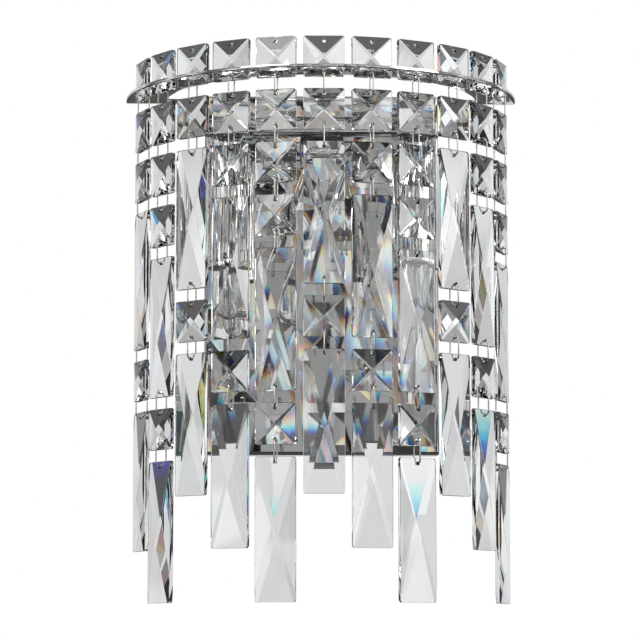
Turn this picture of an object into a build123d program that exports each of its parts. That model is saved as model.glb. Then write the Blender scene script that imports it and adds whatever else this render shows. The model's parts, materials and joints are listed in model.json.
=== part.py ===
from build123d import *
import os
from math import asin, degrees

# Crystal wall sconce: a chrome backplate carries a flat half-round ring and two lamps.
# Crystals stand in slots around the ring, and strings of crystals hang from them on wire clips.
# Millimetres. +Z is up, +X is to the right and -Y is out into the room.
# The origin lies on the wall, at the centre of the mounting strap.

# Backplate: a shallow chrome box, open towards the wall.
PLATE_WIDTH = 130.0
PLATE_HEIGHT = 200.0
PLATE_DEPTH = 25.0
PLATE_WALL = 1.2
PLATE_EDGE_CUT = 1.0
WIRE_HOLE_RADIUS = 3.0

# Ring: a flat half-round band with a straight bar along the wall and a tab on the backplate.
CROWN_RADIUS = 105.0
RING_LIP = 5.0
RING_WIDTH = 22.0
RING_THICKNESS = 1.5
RING_REAR_WIDTH = 8.0
RING_END_RADIUS = 3.0
RING_TAB_WIDTH = 70.0
RING_TAB_DEPTH = 17.0
RING_SCREW_SPACING = 50.0
SLOT_CLEARANCE = 0.15

# Crystals: flat beads whose front and back rise in four facets to a point.
# A square one has its points in the middle, and a long one has them this far below and above it.
BEAD_WIDTH = 22.0
SQUARE_LENGTH = 22.0
LONG_LENGTH = 76.0
LONG_POINT_SHIFT = 5.4
BEAD_THICKNESS = 7.5
BEAD_GIRDLE = 2.4
BEAD_GAP = 6.3
HOLE_INSET = 3.0
HOLE_WIDTH = 1.7

# Strings: how the crystals are spread around the ring, and what hangs in each column.
COLUMN_GAP = 3.6
CROWN_DROP = 4.6
SHORT_STRING = (SQUARE_LENGTH, LONG_LENGTH, SQUARE_LENGTH)
MIDDLE_STRING = (SQUARE_LENGTH, SQUARE_LENGTH, LONG_LENGTH, SQUARE_LENGTH)
LONG_STRING = (SQUARE_LENGTH, SQUARE_LENGTH, SQUARE_LENGTH, LONG_LENGTH, SQUARE_LENGTH)
STRING_PATTERN = (MIDDLE_STRING, LONG_STRING, SHORT_STRING)
COLUMN_COUNT = 11
TURNED_STRINGS = (6,)
TURNED_PENDANTS = (5,)

# Clips: closed loops of square wire that join each crystal to the one above it.
WIRE_WIDTH = 0.66
CLIP_LEG_GAP = 1.0
CLIP_CORNER_CUT = 1.2

# Lamp bar: a T of sheet metal, screwed to the backplate by a turned-down flange.
LAMP_SPACING = 101.6
LAMP_REACH = 52.0
BAR_DROP = 25.0
BAR_WIDTH = 15.0
BAR_THICKNESS = 1.5
BAR_TONGUE_WIDTH = 24.0
BAR_FLANGE_HEIGHT = 16.0
BAR_SCREW_SPACING = 15.0

# Lamp holders: disc, turned neck, drawn sleeve, socket and bulb, all hung on a threaded tube.
DISC_RADIUS = 13.0
DISC_THICKNESS = 1.3
NECK_HEIGHT = 9.4
NECK_RADIUS = 7.5
NECK_WAIST = 6.2
SLEEVE_RADIUS = 12.5
SLEEVE_LENGTH = 63.6
SLEEVE_WALL = 0.8
SLEEVE_SHOULDER = 0.8
TUBE_RADIUS = 4.9
TUBE_SIDES = 12
TUBE_WALL = 1.0
TUBE_CLEARANCE = 0.1
TUBE_SHOW = 2.0
TUBE_NUT_FLATS = 14.0
TUBE_NUT_HEIGHT = 3.5
SOCKET_RADIUS = 9.0
SOCKET_SIDES = 16
SOCKET_HEIGHT = 25.0
SOCKET_DEPTH = 16.5

# Bulb: a glass capsule on a flat pinched foot.
BULB_RADIUS = 6.5
BULB_TIP_CUT = 3.5
BULB_LENGTH = 46.0
BULB_NECK_LENGTH = 7.0
BULB_FOOT_WIDTH = 9.0
BULB_FOOT_THICKNESS = 4.0
BULB_SEAT_DEPTH = 6.0
BULB_SEAT_CLEARANCE = 0.4

# Mounting strap: a sheet-metal U behind the backplate, slotted for the wall box.
STRAP_HEIGHT = 22.0
STRAP_THICKNESS = 1.8
STRAP_EAR_DEPTH = 18.0
STRAP_BEND = 1.0
STRAP_CLEARANCE = 0.3
STRAP_SLOT_SPACING = 79.4
STRAP_SLOT_LENGTH = 24.0
STRAP_SLOT_WIDTH = 5.0
GROUND_SCREW_OFFSET = 12.0

# Screws: hexagon-headed machine screws. Their shanks and their holes have six sides.
SCREW_RADIUS = 1.95
SCREW_SIDES = 6
SCREW_HEAD_FLATS = 7.0
SCREW_HEAD_HEIGHT = 2.4
SCREW_HOLE_CLEARANCE = 0.2
THREAD_CLEARANCE = 0.05
SCREW_SHOW = 2.0

# Cutting tools reach this far past the sheet that they go through.
OVERCUT = 5.0

# Levels and places that follow from the sizes above.
RING_RADIUS = CROWN_RADIUS + RING_LIP
RING_BOTTOM = PLATE_HEIGHT / 2
RING_TOP = RING_BOTTOM + RING_THICKNESS
CROWN_BOTTOM = RING_BOTTOM - CROWN_DROP
CROWN_HOLE = CROWN_BOTTOM + HOLE_INSET
CROWN_CENTRE = CROWN_BOTTOM + SQUARE_LENGTH / 2
COLUMN_PITCH = degrees(2 * asin((BEAD_WIDTH + COLUMN_GAP) / 2 / CROWN_RADIUS))
CLIP_HEIGHT = 2 * HOLE_INSET + BEAD_GAP
HALF_GIRDLE = BEAD_GIRDLE / 2
HALF_RISE = (BEAD_THICKNESS - BEAD_GIRDLE) / 2
BAR_TOP = RING_BOTTOM - BAR_DROP
BAR_BOTTOM = BAR_TOP - BAR_THICKNESS
NECK_TOP = BAR_BOTTOM - DISC_THICKNESS
SLEEVE_TOP = NECK_TOP - NECK_HEIGHT
SOCKET_TOP = SLEEVE_TOP - SLEEVE_SHOULDER - SOCKET_DEPTH
SOCKET_BOTTOM = SOCKET_TOP - SOCKET_HEIGHT
HOLDER_BORE = TUBE_RADIUS + TUBE_CLEARANCE
SCREW_HOLE = SCREW_RADIUS + SCREW_HOLE_CLEARANCE
THREADED_HOLE = SCREW_RADIUS + THREAD_CLEARANCE
TAB_SCREW_REACH = RING_TAB_DEPTH / 2
FLANGE_LEVEL = BAR_TOP - BAR_FLANGE_HEIGHT / 2
EAR_FACE = PLATE_WIDTH / 2 - PLATE_WALL - STRAP_CLEARANCE
EAR_SCREW_REACH = (STRAP_EAR_DEPTH + STRAP_THICKNESS) / 2


def half_thickness(from_end):
    """Half the thickness of a square crystal on its centre line, at a distance from its end.

    Near its ends, a long crystal is no thicker on either side.
    """
    return HALF_GIRDLE + HALF_RISE * from_end / (SQUARE_LENGTH / 2)


def roof(span, shift=0.0):
    """Six-sided profile that rises from thin ends to a ridge on each side.

    The ridge of the upper side stands a shift before the middle, and the other one after it.
    """
    skew = HALF_RISE * shift / (span / 2)
    return Polygon(
        (-span / 2, skew - HALF_GIRDLE),
        (shift, -BEAD_THICKNESS / 2),
        (span / 2, -skew - HALF_GIRDLE),
        (span / 2, HALF_GIRDLE - skew),
        (-shift, BEAD_THICKNESS / 2),
        (-span / 2, HALF_GIRDLE + skew),
        align=None,
    )


def crystal(length, hole_ends, point_shift=0.0):
    """Faceted crystal centred on the origin, with drilled ends named by +1 (top) and -1."""
    across = extrude(roof(BEAD_WIDTH), amount=length / 2, both=True)
    upright = Plane(origin=(0, 0, 0), x_dir=(0, 0, 1), z_dir=(1, 0, 0))
    along = extrude(upright * roof(length, point_shift), amount=BEAD_WIDTH / 2, both=True)
    body = across & along
    for end in hole_ends:
        hole = Pos(0, end * (length / 2 - HOLE_INSET)) * HOLE
        body -= extrude(Plane.XZ * hole, amount=BEAD_THICKNESS, both=True)
    return body


def clip():
    """Wire loop in the YZ plane, hung from the middle of its upper end at the origin."""
    half_width = half_thickness(HOLE_INSET) + CLIP_LEG_GAP + WIRE_WIDTH / 2
    line = chamfer(Rectangle(2 * half_width, CLIP_HEIGHT).vertices(), CLIP_CORNER_CUT)
    outer = offset(line, WIRE_WIDTH / 2, kind=Kind.INTERSECTION)
    inner = offset(line, -WIRE_WIDTH / 2, kind=Kind.INTERSECTION)
    loop = extrude(Plane.YZ * (outer - inner), amount=WIRE_WIDTH / 2, both=True)
    return Pos(0, 0, -CLIP_HEIGHT / 2) * loop


def column_place(column):
    """Frame of a column on the crown circle, at the height of the wall strap."""
    angle = (column - (COLUMN_COUNT + 1) / 2) * COLUMN_PITCH
    return Rot(0, 0, angle) * Pos(0, -CROWN_RADIUS, 0)


def long_way(column, turned_columns):
    """Turn of a column's long crystal: back to front in some columns, as it was hung."""
    return Rot(0, 0, 180) if column in turned_columns else Rot(0, 0, 0)


def crystal_string(column, lengths):
    """Clips and crystals hung below the crown hole, and the hole level that they end at."""
    place = column_place(column)
    long_bead = long_way(column, TURNED_STRINGS) * LONG_BEAD
    hook = CROWN_HOLE
    crystals = []
    clips = []
    for length in lengths:
        clips.append(place * Pos(0, 0, hook) * CLIP)
        bead = SQUARE_BEAD if length == SQUARE_LENGTH else long_bead
        crystals.append(place * Pos(0, 0, hook - CLIP_HEIGHT + HOLE_INSET - length / 2) * bead)
        hook -= CLIP_HEIGHT + length - 2 * HOLE_INSET
    return crystals, clips, hook


def crown_slot():
    """Slot that a crown crystal drops into until its thicker middle seats on the ring."""
    from_middle = CROWN_CENTRE - RING_TOP
    level = half_thickness(SQUARE_LENGTH / 2 - from_middle) + SLOT_CLEARANCE
    end = HALF_GIRDLE + SLOT_CLEARANCE
    half = BEAD_WIDTH / 2 + SLOT_CLEARANCE
    return Polygon(
        (-half, -end),
        (-from_middle, -level),
        (from_middle, -level),
        (half, -end),
        (half, end),
        (from_middle, level),
        (-from_middle, level),
        (-half, end),
        align=None,
    )


def crown_ring():
    """Flat half-round band, closed along the wall, with a screwed tab and crown slots."""
    room_side = Pos(0, -RING_RADIUS) * Rectangle(2 * RING_RADIUS, 2 * RING_RADIUS)
    band = Circle(RING_RADIUS) & room_side
    rear_corners = band.vertices().group_by(Axis.Y)[-1]
    band = fillet(rear_corners, RING_END_RADIUS)
    opening = Circle(RING_RADIUS - RING_WIDTH) & (Pos(0, -RING_REAR_WIDTH) * room_side)
    tab = Pos(0, -RING_TAB_DEPTH / 2) * Rectangle(RING_TAB_WIDTH, RING_TAB_DEPTH)
    band = band - opening + tab
    for side in (-1, 1):
        centre = Pos(side * RING_SCREW_SPACING / 2, -TAB_SCREW_REACH)
        band -= centre * RegularPolygon(SCREW_HOLE, SCREW_SIDES)
    for column in range(1, COLUMN_COUNT + 1):
        band -= column_place(column) * crown_slot()
    return Pos(0, 0, RING_BOTTOM) * extrude(band, amount=RING_THICKNESS)


def drill(radius, sheet):
    """Six-sided cutter along Z, through a sheet that is centred on the origin."""
    return extrude(RegularPolygon(radius, SCREW_SIDES), amount=sheet / 2 + OVERCUT, both=True)


def backplate():
    """Chrome box, open to the wall, drilled for the ring, the lamp bar and the strap."""
    outer = Pos(0, -PLATE_DEPTH / 2, 0) * Box(PLATE_WIDTH, PLATE_DEPTH, PLATE_HEIGHT)
    face = outer.faces().sort_by(Axis.Y)[0]
    outer = chamfer(face.edges(), PLATE_EDGE_CUT)
    inner_width = PLATE_WIDTH - 2 * PLATE_WALL
    inner_height = PLATE_HEIGHT - 2 * PLATE_WALL
    hollow = Pos(0, PLATE_WALL - PLATE_DEPTH / 2, 0) * Box(inner_width, PLATE_DEPTH, inner_height)
    shell = outer - hollow
    threaded = drill(THREADED_HOLE, PLATE_WALL)
    for side in (-1, 1):
        top = Pos(side * RING_SCREW_SPACING / 2, -TAB_SCREW_REACH, RING_BOTTOM)
        flange = Pos(side * BAR_SCREW_SPACING / 2, -PLATE_DEPTH, FLANGE_LEVEL)
        ear = Pos(side * PLATE_WIDTH / 2, -EAR_SCREW_REACH, 0)
        shell = shell - top * threaded - flange * Rot(90, 0, 0) * threaded
        shell -= ear * Rot(0, 90, 0) * drill(SCREW_HOLE, PLATE_WALL)
    wire_hole = Rot(90, 0, 0) * drill(WIRE_HOLE_RADIUS, PLATE_WALL)
    return shell - Pos(0, -PLATE_DEPTH, FLANGE_LEVEL) * wire_hole


def wall_strap():
    """Sheet-metal U: slotted base on the wall, and an ear at each end for the side screws."""
    depth = STRAP_EAR_DEPTH
    outer = Pos(0, -depth / 2) * Rectangle(2 * EAR_FACE, depth)
    outer = chamfer(outer.vertices().group_by(Axis.Y)[-1], STRAP_BEND)
    gap_width = 2 * (EAR_FACE - STRAP_THICKNESS)
    gap = Pos(0, -depth / 2 - STRAP_THICKNESS) * Rectangle(gap_width, depth)
    strap = extrude(outer - gap, amount=STRAP_HEIGHT / 2, both=True)
    slot = Plane.XZ * SlotOverall(STRAP_SLOT_LENGTH, STRAP_SLOT_WIDTH)
    threaded = drill(THREADED_HOLE, STRAP_THICKNESS)
    for side in (-1, 1):
        cut = extrude(slot, amount=STRAP_THICKNESS + OVERCUT, both=True)
        strap -= Pos(side * STRAP_SLOT_SPACING / 2, 0, 0) * cut
        strap -= Pos(side * EAR_FACE, -EAR_SCREW_REACH, 0) * Rot(0, 90, 0) * threaded
    return strap - Pos(GROUND_SCREW_OFFSET, 0, 0) * Rot(90, 0, 0) * threaded


def lamp_bar():
    """T-shaped bar with rounded ends, and a flange turned down on the backplate."""
    arm = Pos(0, -LAMP_REACH) * SlotOverall(LAMP_SPACING + BAR_WIDTH, BAR_WIDTH)
    tongue_depth = LAMP_REACH - PLATE_DEPTH
    tongue = Pos(0, -PLATE_DEPTH - tongue_depth / 2) * Rectangle(BAR_TONGUE_WIDTH, tongue_depth)
    sheet = arm + tongue
    for side in (-1, 1):
        sheet -= Pos(side * LAMP_SPACING / 2, -LAMP_REACH) * holder_bore()
    bar = Pos(0, 0, BAR_BOTTOM) * extrude(sheet, amount=BAR_THICKNESS)
    flange_centre = Pos(0, -PLATE_DEPTH - BAR_THICKNESS / 2, FLANGE_LEVEL)
    bar += flange_centre * Box(BAR_TONGUE_WIDTH, BAR_THICKNESS, BAR_FLANGE_HEIGHT)
    screw_hole = Rot(90, 0, 0) * drill(SCREW_HOLE, BAR_THICKNESS)
    for side in (-1, 1):
        bar -= flange_centre * Pos(side * BAR_SCREW_SPACING / 2, 0, 0) * screw_hole
    return bar - flange_centre * Rot(90, 0, 0) * drill(WIRE_HOLE_RADIUS, BAR_THICKNESS)


def holder_bore():
    """Outline of the hole that the threaded tube goes through."""
    return RegularPolygon(HOLDER_BORE, TUBE_SIDES)


def both_lamps(piece):
    """The same piece on the left and the right lamp axis."""
    half = LAMP_SPACING / 2
    return [Pos(side * half, -LAMP_REACH, 0) * piece for side in (-1, 1)]


def turned(points):
    """Solid turned about the Z axis from an outline of (radius, height) points, closed along it."""
    bottom = (0, points[0][1])
    top = (0, points[-1][1])
    return revolve(Plane.XZ * Polygon(bottom, *points, top, align=None), Axis.Z)


def holder_disc():
    """Thin round plate under the bar."""
    disc = Circle(DISC_RADIUS) - holder_bore()
    return Pos(0, 0, NECK_TOP) * extrude(disc, amount=DISC_THICKNESS)


def holder_neck():
    """Turned spacer with a waist, between the disc and the sleeve."""
    middle = SLEEVE_TOP + NECK_HEIGHT / 2
    spool = turned([(NECK_RADIUS, SLEEVE_TOP), (NECK_WAIST, middle), (NECK_RADIUS, NECK_TOP)])
    return spool - Pos(0, 0, SLEEVE_TOP) * extrude(holder_bore(), amount=NECK_HEIGHT)


def holder_tube():
    """Threaded tube from above the bar's nut down to the socket."""
    top = BAR_TOP + TUBE_NUT_HEIGHT + TUBE_SHOW
    bore = RegularPolygon(TUBE_RADIUS - TUBE_WALL, TUBE_SIDES)
    wall = RegularPolygon(TUBE_RADIUS, TUBE_SIDES) - bore
    return Pos(0, 0, SOCKET_TOP) * extrude(wall, amount=top - SOCKET_TOP)


def holder_nut(level):
    """Flat hexagon nut on the threaded tube, with its lower face at a level."""
    hexagon = RegularPolygon(TUBE_NUT_FLATS / 2, 6, major_radius=False) - holder_bore()
    return Pos(0, 0, level) * extrude(hexagon, amount=TUBE_NUT_HEIGHT)


def holder_sleeve():
    """Drawn cup, open below and closed at the top around the threaded tube."""
    outer = extrude(Circle(SLEEVE_RADIUS), amount=SLEEVE_LENGTH)
    outer = chamfer(outer.edges().group_by(Axis.Z)[-1], SLEEVE_SHOULDER)
    inner = extrude(Circle(SLEEVE_RADIUS - SLEEVE_WALL), amount=SLEEVE_LENGTH - SLEEVE_SHOULDER)
    bore = extrude(holder_bore(), amount=SLEEVE_LENGTH)
    return Pos(0, 0, SLEEVE_TOP - SLEEVE_LENGTH) * (outer - inner - bore)


def lamp_socket():
    """Sixteen-sided ceramic socket with a slot below for the bulb's foot."""
    outline = RegularPolygon(SOCKET_RADIUS, SOCKET_SIDES)
    body = Pos(0, 0, SOCKET_BOTTOM) * extrude(outline, amount=SOCKET_HEIGHT)
    seat_width = BULB_FOOT_WIDTH + BULB_SEAT_CLEARANCE
    seat_thickness = BULB_FOOT_THICKNESS + BULB_SEAT_CLEARANCE
    seat = Pos(0, 0, SOCKET_BOTTOM) * Box(seat_width, seat_thickness, 2 * BULB_SEAT_DEPTH)
    return body - seat


def bulb():
    """Glass capsule with a blunt tip, on a flat foot that stands in the socket."""
    tip = SOCKET_BOTTOM - BULB_LENGTH
    top = SOCKET_BOTTOM - BULB_NECK_LENGTH
    capsule = turned([
        (BULB_RADIUS - BULB_TIP_CUT, tip),
        (BULB_RADIUS, tip + BULB_TIP_CUT),
        (BULB_RADIUS, top),
    ])
    foot_length = BULB_SEAT_DEPTH + BULB_NECK_LENGTH
    foot = Box(BULB_FOOT_WIDTH, BULB_FOOT_THICKNESS, foot_length)
    return capsule + Pos(0, 0, SOCKET_BOTTOM + BULB_SEAT_DEPTH - foot_length / 2) * foot


def screw(length):
    """Hexagon-headed screw pointing down from its seat at the origin."""
    hexagon = RegularPolygon(SCREW_HEAD_FLATS / 2, 6, major_radius=False)
    shank = extrude(RegularPolygon(SCREW_RADIUS, SCREW_SIDES), amount=-length)
    return extrude(hexagon, amount=SCREW_HEAD_HEIGHT) + shank


def plate_screws():
    """Screws through the ring's tab and the bar's flange into the backplate's threaded holes."""
    screws = []
    for side in (-1, 1):
        tab_seat = Pos(side * RING_SCREW_SPACING / 2, -TAB_SCREW_REACH, RING_TOP)
        screws.append(tab_seat * screw(RING_THICKNESS + PLATE_WALL + SCREW_SHOW))
        flange_seat = Pos(side * BAR_SCREW_SPACING / 2, -PLATE_DEPTH - BAR_THICKNESS, FLANGE_LEVEL)
        length = BAR_THICKNESS + PLATE_WALL + SCREW_SHOW
        screws.append(flange_seat * Rot(90, 0, 0) * screw(length))
    return screws


def side_screws():
    """Screws through the backplate's sides into the strap's ears."""
    length = PLATE_WALL + STRAP_CLEARANCE + STRAP_THICKNESS + SCREW_SHOW
    seat = Pos(PLATE_WIDTH / 2, -EAR_SCREW_REACH, 0)
    right = seat * Rot(0, 90, 0) * screw(length)
    return [right, mirror(right, about=Plane.YZ)]


def ground_screw():
    """Earth screw in the strap's base."""
    place = Pos(GROUND_SCREW_OFFSET, -STRAP_THICKNESS, 0)
    return place * Rot(90, 0, 0) * screw(STRAP_THICKNESS)


def write(name, solids):
    """Write one node: a single solid, or a group of separate ones."""
    shape = solids[0] if len(solids) == 1 else Compound(solids)
    export_step(shape, f"parts/{name}.step")


HOLE = Rectangle(HOLE_WIDTH, HOLE_WIDTH)
SQUARE_BEAD = crystal(SQUARE_LENGTH, (1, -1))
LONG_BEAD = crystal(LONG_LENGTH, (1, -1), LONG_POINT_SHIFT)
END_BEAD = crystal(LONG_LENGTH, (1,), LONG_POINT_SHIFT)
CLIP = clip()

os.makedirs("parts", exist_ok=True)

write("wall_strap", [wall_strap()])
write("ground_screw", [ground_screw()])
write("side_screws", side_screws())
write("backplate", [backplate()])
write("crown_ring", [crown_ring()])
write("lamp_bar", [lamp_bar()])
write("plate_screws", plate_screws())
write("holder_discs", both_lamps(holder_disc()))
write("holder_necks", both_lamps(holder_neck()))
write("holder_tubes", both_lamps(holder_tube()))
bar_nut = holder_nut(BAR_TOP)
sleeve_nut = holder_nut(SLEEVE_TOP - SLEEVE_SHOULDER - TUBE_NUT_HEIGHT)
write("holder_nuts", both_lamps(bar_nut) + both_lamps(sleeve_nut))
write("lamp_sleeves", both_lamps(holder_sleeve()))
write("lamp_sockets", both_lamps(lamp_socket()))
write("bulbs", both_lamps(bulb()))
columns = range(1, COLUMN_COUNT + 1)
write("crown_crystals", [column_place(c) * Pos(0, 0, CROWN_CENTRE) * SQUARE_BEAD for c in columns])

for column in columns:
    lengths = STRING_PATTERN[(column - 1) % len(STRING_PATTERN)]
    crystals, clips, end_hook = crystal_string(column, lengths)
    write(f"string_{column:02d}_crystals", crystals)
    write(f"string_{column:02d}_clips", clips)
    place = column_place(column)
    pendant_centre = Pos(0, 0, end_hook - CLIP_HEIGHT + HOLE_INSET - LONG_LENGTH / 2)
    pendant = place * pendant_centre * long_way(column, TURNED_PENDANTS) * END_BEAD
    write(f"pendant_{column:02d}_crystal", [pendant])
    write(f"pendant_{column:02d}_clip", [place * Pos(0, 0, end_hook) * CLIP])
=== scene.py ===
"""Looks of the crystal wall sconce: crystals, wire clips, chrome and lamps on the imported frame."""
from __future__ import annotations

import json
import logging
import math
from dataclasses import dataclass, field
from enum import Enum
from typing import Any, Iterable, Sequence, Union

import bmesh
import bpy
from mathutils import Matrix, Vector

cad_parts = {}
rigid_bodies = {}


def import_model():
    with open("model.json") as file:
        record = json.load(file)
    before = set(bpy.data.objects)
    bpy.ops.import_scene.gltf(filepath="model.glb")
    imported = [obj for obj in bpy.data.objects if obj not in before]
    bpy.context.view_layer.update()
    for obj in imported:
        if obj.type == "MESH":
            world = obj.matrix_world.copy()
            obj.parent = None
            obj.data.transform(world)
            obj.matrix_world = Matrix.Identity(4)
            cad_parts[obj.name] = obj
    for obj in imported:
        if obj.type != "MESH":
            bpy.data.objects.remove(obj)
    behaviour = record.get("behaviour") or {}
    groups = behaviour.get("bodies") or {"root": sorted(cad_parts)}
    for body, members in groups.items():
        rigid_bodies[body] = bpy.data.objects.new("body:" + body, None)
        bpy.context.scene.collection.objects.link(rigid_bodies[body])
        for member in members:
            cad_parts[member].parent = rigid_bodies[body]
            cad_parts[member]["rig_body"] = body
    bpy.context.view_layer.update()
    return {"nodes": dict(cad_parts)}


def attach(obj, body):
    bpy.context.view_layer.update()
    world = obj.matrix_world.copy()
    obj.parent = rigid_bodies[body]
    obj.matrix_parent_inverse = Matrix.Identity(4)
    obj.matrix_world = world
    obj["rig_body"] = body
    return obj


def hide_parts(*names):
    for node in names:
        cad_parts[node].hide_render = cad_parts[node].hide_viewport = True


LOG = logging.getLogger("sconce")

# Blender works in metres, and the small forms are drawn in millimetres and scaled down at the end.
MM = 0.001


class Slot(Enum):
    """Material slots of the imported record."""

    CHROME = "polished_chrome"
    ZINC = "zinc_plated_steel"
    WIRE = "silver_wire"
    CRYSTAL = "cut_crystal"
    BULB = "bulb_glass"
    CERAMIC = "glazed_ceramic"


# --- Shader maths -------------------------------------------------------------------------------


Number = Union["Wire", float]


@dataclass(frozen=True)
class Wire:
    """A socket's output, on which Python's operators add Math nodes."""

    bench: "Bench"
    socket: bpy.types.NodeSocket

    def maths(self, operation: str, *others: Number) -> "Wire":
        """Feed this value and others to a Math node.

        Args:
            operation: The Math node's operation.
            others: The second and third values.

        Returns:
            The Math node's result.
        """
        values = dict(enumerate((self, *others)))
        return self.bench.add("ShaderNodeMath", {"operation": operation}, values)

    def __add__(self, other: Number) -> "Wire":
        """This value plus another."""
        return self.maths("ADD", other)

    __radd__ = __add__

    def __mul__(self, other: Number) -> "Wire":
        """This value times another."""
        return self.maths("MULTIPLY", other)

    __rmul__ = __mul__

    def __sub__(self, other: Number) -> "Wire":
        """This value less another."""
        return self.maths("SUBTRACT", other)

    def __rsub__(self, other: Number) -> "Wire":
        """Another value less this one."""
        return self.maths("MULTIPLY_ADD", -1.0, other)

    def __truediv__(self, other: Number) -> "Wire":
        """This value divided by another."""
        return self.maths("DIVIDE", other)

    def ease(self, low: float, high: float, start: float = 0.0, end: float = 1.0) -> "Wire":
        """Turn a range of this value smoothly into another.

        Args:
            low: The value that gives start.
            high: The value that gives end.
            start: The result at and below low.
            end: The result at and above high.

        Returns:
            The eased value.
        """
        values = {"Value": self, "From Min": low, "From Max": high, "To Min": start, "To Max": end}
        return self.bench.add("ShaderNodeMapRange", {"interpolation_type": "SMOOTHSTEP"}, values)


@dataclass
class Bench:
    """A node tree under construction."""

    tree: bpy.types.NodeTree

    def __post_init__(self) -> None:
        """Start from an empty tree."""
        self.tree.nodes.clear()

    def node(self, kind: str, settings: dict[str, Any], values: dict[Any, Any]) -> bpy.types.Node:
        """Add a node of any kind.

        Args:
            kind: The node's type.
            settings: Its own settings, which are made first. A ramp's stops are pairs of a
                position and a colour.
            values: A number, colour or Wire for each socket, by name or number.

        Returns:
            The new node.
        """
        node = self.tree.nodes.new(kind)
        for name, value in settings.items():
            if name == "stops":
                self.stops(node.color_ramp, value)
            else:
                setattr(node, name, value)
        for key, value in values.items():
            if isinstance(value, Wire):
                self.tree.links.new(value.socket, node.inputs[key])
            else:
                node.inputs[key].default_value = value
        return node

    @staticmethod
    def stops(ramp: bpy.types.ColorRamp, stops: Sequence[tuple[float, Sequence[float]]]) -> None:
        """Replace a ramp's stops.

        Args:
            ramp: The ramp.
            stops: Pairs of a position and a colour, in order.
        """
        while len(ramp.elements) < len(stops):
            ramp.elements.new(1.0)
        for element, (position, colour) in zip(ramp.elements, stops):
            element.position = position
            element.color = (*colour, 1.0)

    def add(
        self, kind: str, settings: dict[str, Any], values: dict[Any, Any], output: Any = 0
    ) -> Wire:
        """Add a node and take one of its outputs.

        Args:
            kind: The node's type.
            settings: As for node.
            values: As for node.
            output: The output's name or number.

        Returns:
            The output.
        """
        return Wire(self, self.node(kind, settings, values).outputs[output])

    def place(self) -> Wire:
        """Position on the piece, in metres."""
        return self.add("ShaderNodeTexCoord", {}, {}, "Object")

    def noise(self, scale: float, detail: float = 2.0, place: Wire | None = None) -> Wire:
        """Cloudy values between 0 and 1.

        Args:
            scale: Clouds per metre.
            detail: How many finer layers are added.
            place: Where the pattern is read, if not at the piece's own position.

        Returns:
            The noise's value.
        """
        values = {"Vector": place or self.place(), "Scale": scale, "Detail": detail}
        return self.add("ShaderNodeTexNoise", {}, values, "Fac")

    def stretched(self, scale: tuple[float, float, float]) -> Wire:
        """Position on the piece, stretched along its axes.

        Args:
            scale: The factor along each axis.

        Returns:
            The stretched position.
        """
        return self.add("ShaderNodeMapping", {}, {"Vector": self.place(), "Scale": scale})

    def tint(self, share: Number, first: Sequence[float], second: Sequence[float]) -> Wire:
        """Blend two colours.

        Args:
            share: How much of the second colour shows.
            first: A colour.
            second: Another colour.

        Returns:
            The blended colour.
        """
        values = {0: share, 6: (*first, 1.0), 7: (*second, 1.0)}
        return self.add("ShaderNodeMix", {"data_type": "RGBA"}, values, 2)

    def bump(self, height: Wire, distance: float, strength: float = 1.0) -> Wire:
        """Turn a height into a normal.

        Args:
            height: The height, from 0 to 1.
            distance: The rise in metres from 0 to 1.
            strength: The share of the bump that shows.

        Returns:
            The normal.
        """
        values = {"Height": height, "Distance": distance, "Strength": strength}
        return self.add("ShaderNodeBump", {}, values, "Normal")


# --- Finishes -----------------------------------------------------------------------------------


@dataclass(frozen=True)
class Finish:
    """A surface finish. Each kind says what its nodes are."""

    name: str = "finish"

    def material(self) -> bpy.types.Material:
        """The finish's material, made on first use."""
        made = bpy.data.materials.get(self.name)
        if made is None:
            made = bpy.data.materials.new(self.name)
            made.use_nodes = True
            bench = Bench(made.node_tree)
            surface = self.surface(bench)
            bench.node("ShaderNodeOutputMaterial", {}, {"Surface": surface})
        return made

    def surface(self, bench: Bench) -> Wire:
        """Build the shader.

        Args:
            bench: The material's node tree.

        Returns:
            The shader's output.
        """
        raise NotImplementedError

    def principled(self, bench: Bench, values: dict[str, Any]) -> Wire:
        """Add the main shader.

        Args:
            bench: The material's node tree.
            values: The sockets' values.

        Returns:
            The shader's output.
        """
        return bench.add("ShaderNodeBsdfPrincipled", {}, values, "BSDF")


@dataclass(frozen=True)
class PolishedChrome(Finish):
    """Mirror plating with a faint wipe haze and the slow waves of pressed sheet."""

    name: str = "mirror chrome plating"
    colour: tuple[float, float, float] = (0.70, 0.70, 0.695)
    hazed: tuple[float, float, float] = (0.66, 0.665, 0.67)
    roughness: float = 0.015
    haze: float = 0.035
    wave: float = 0.000012

    def surface(self, bench: Bench) -> Wire:
        """A metal whose gloss varies a little."""
        cloud = bench.noise(scale=38.0, detail=3.0)
        wipe = bench.noise(scale=9.0, detail=4.0, place=bench.stretched((24.0, 24.0, 1.5)))
        smear = cloud.ease(0.45, 0.75) * wipe.ease(0.4, 0.7)
        sheet = bench.noise(scale=26.0, detail=1.0)
        return self.principled(bench, {
            "Base Color": bench.tint(smear, self.colour, self.hazed),
            "Metallic": 1.0,
            "Roughness": smear * self.haze + self.roughness,
            "Normal": bench.bump(sheet, self.wave),
        })


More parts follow.
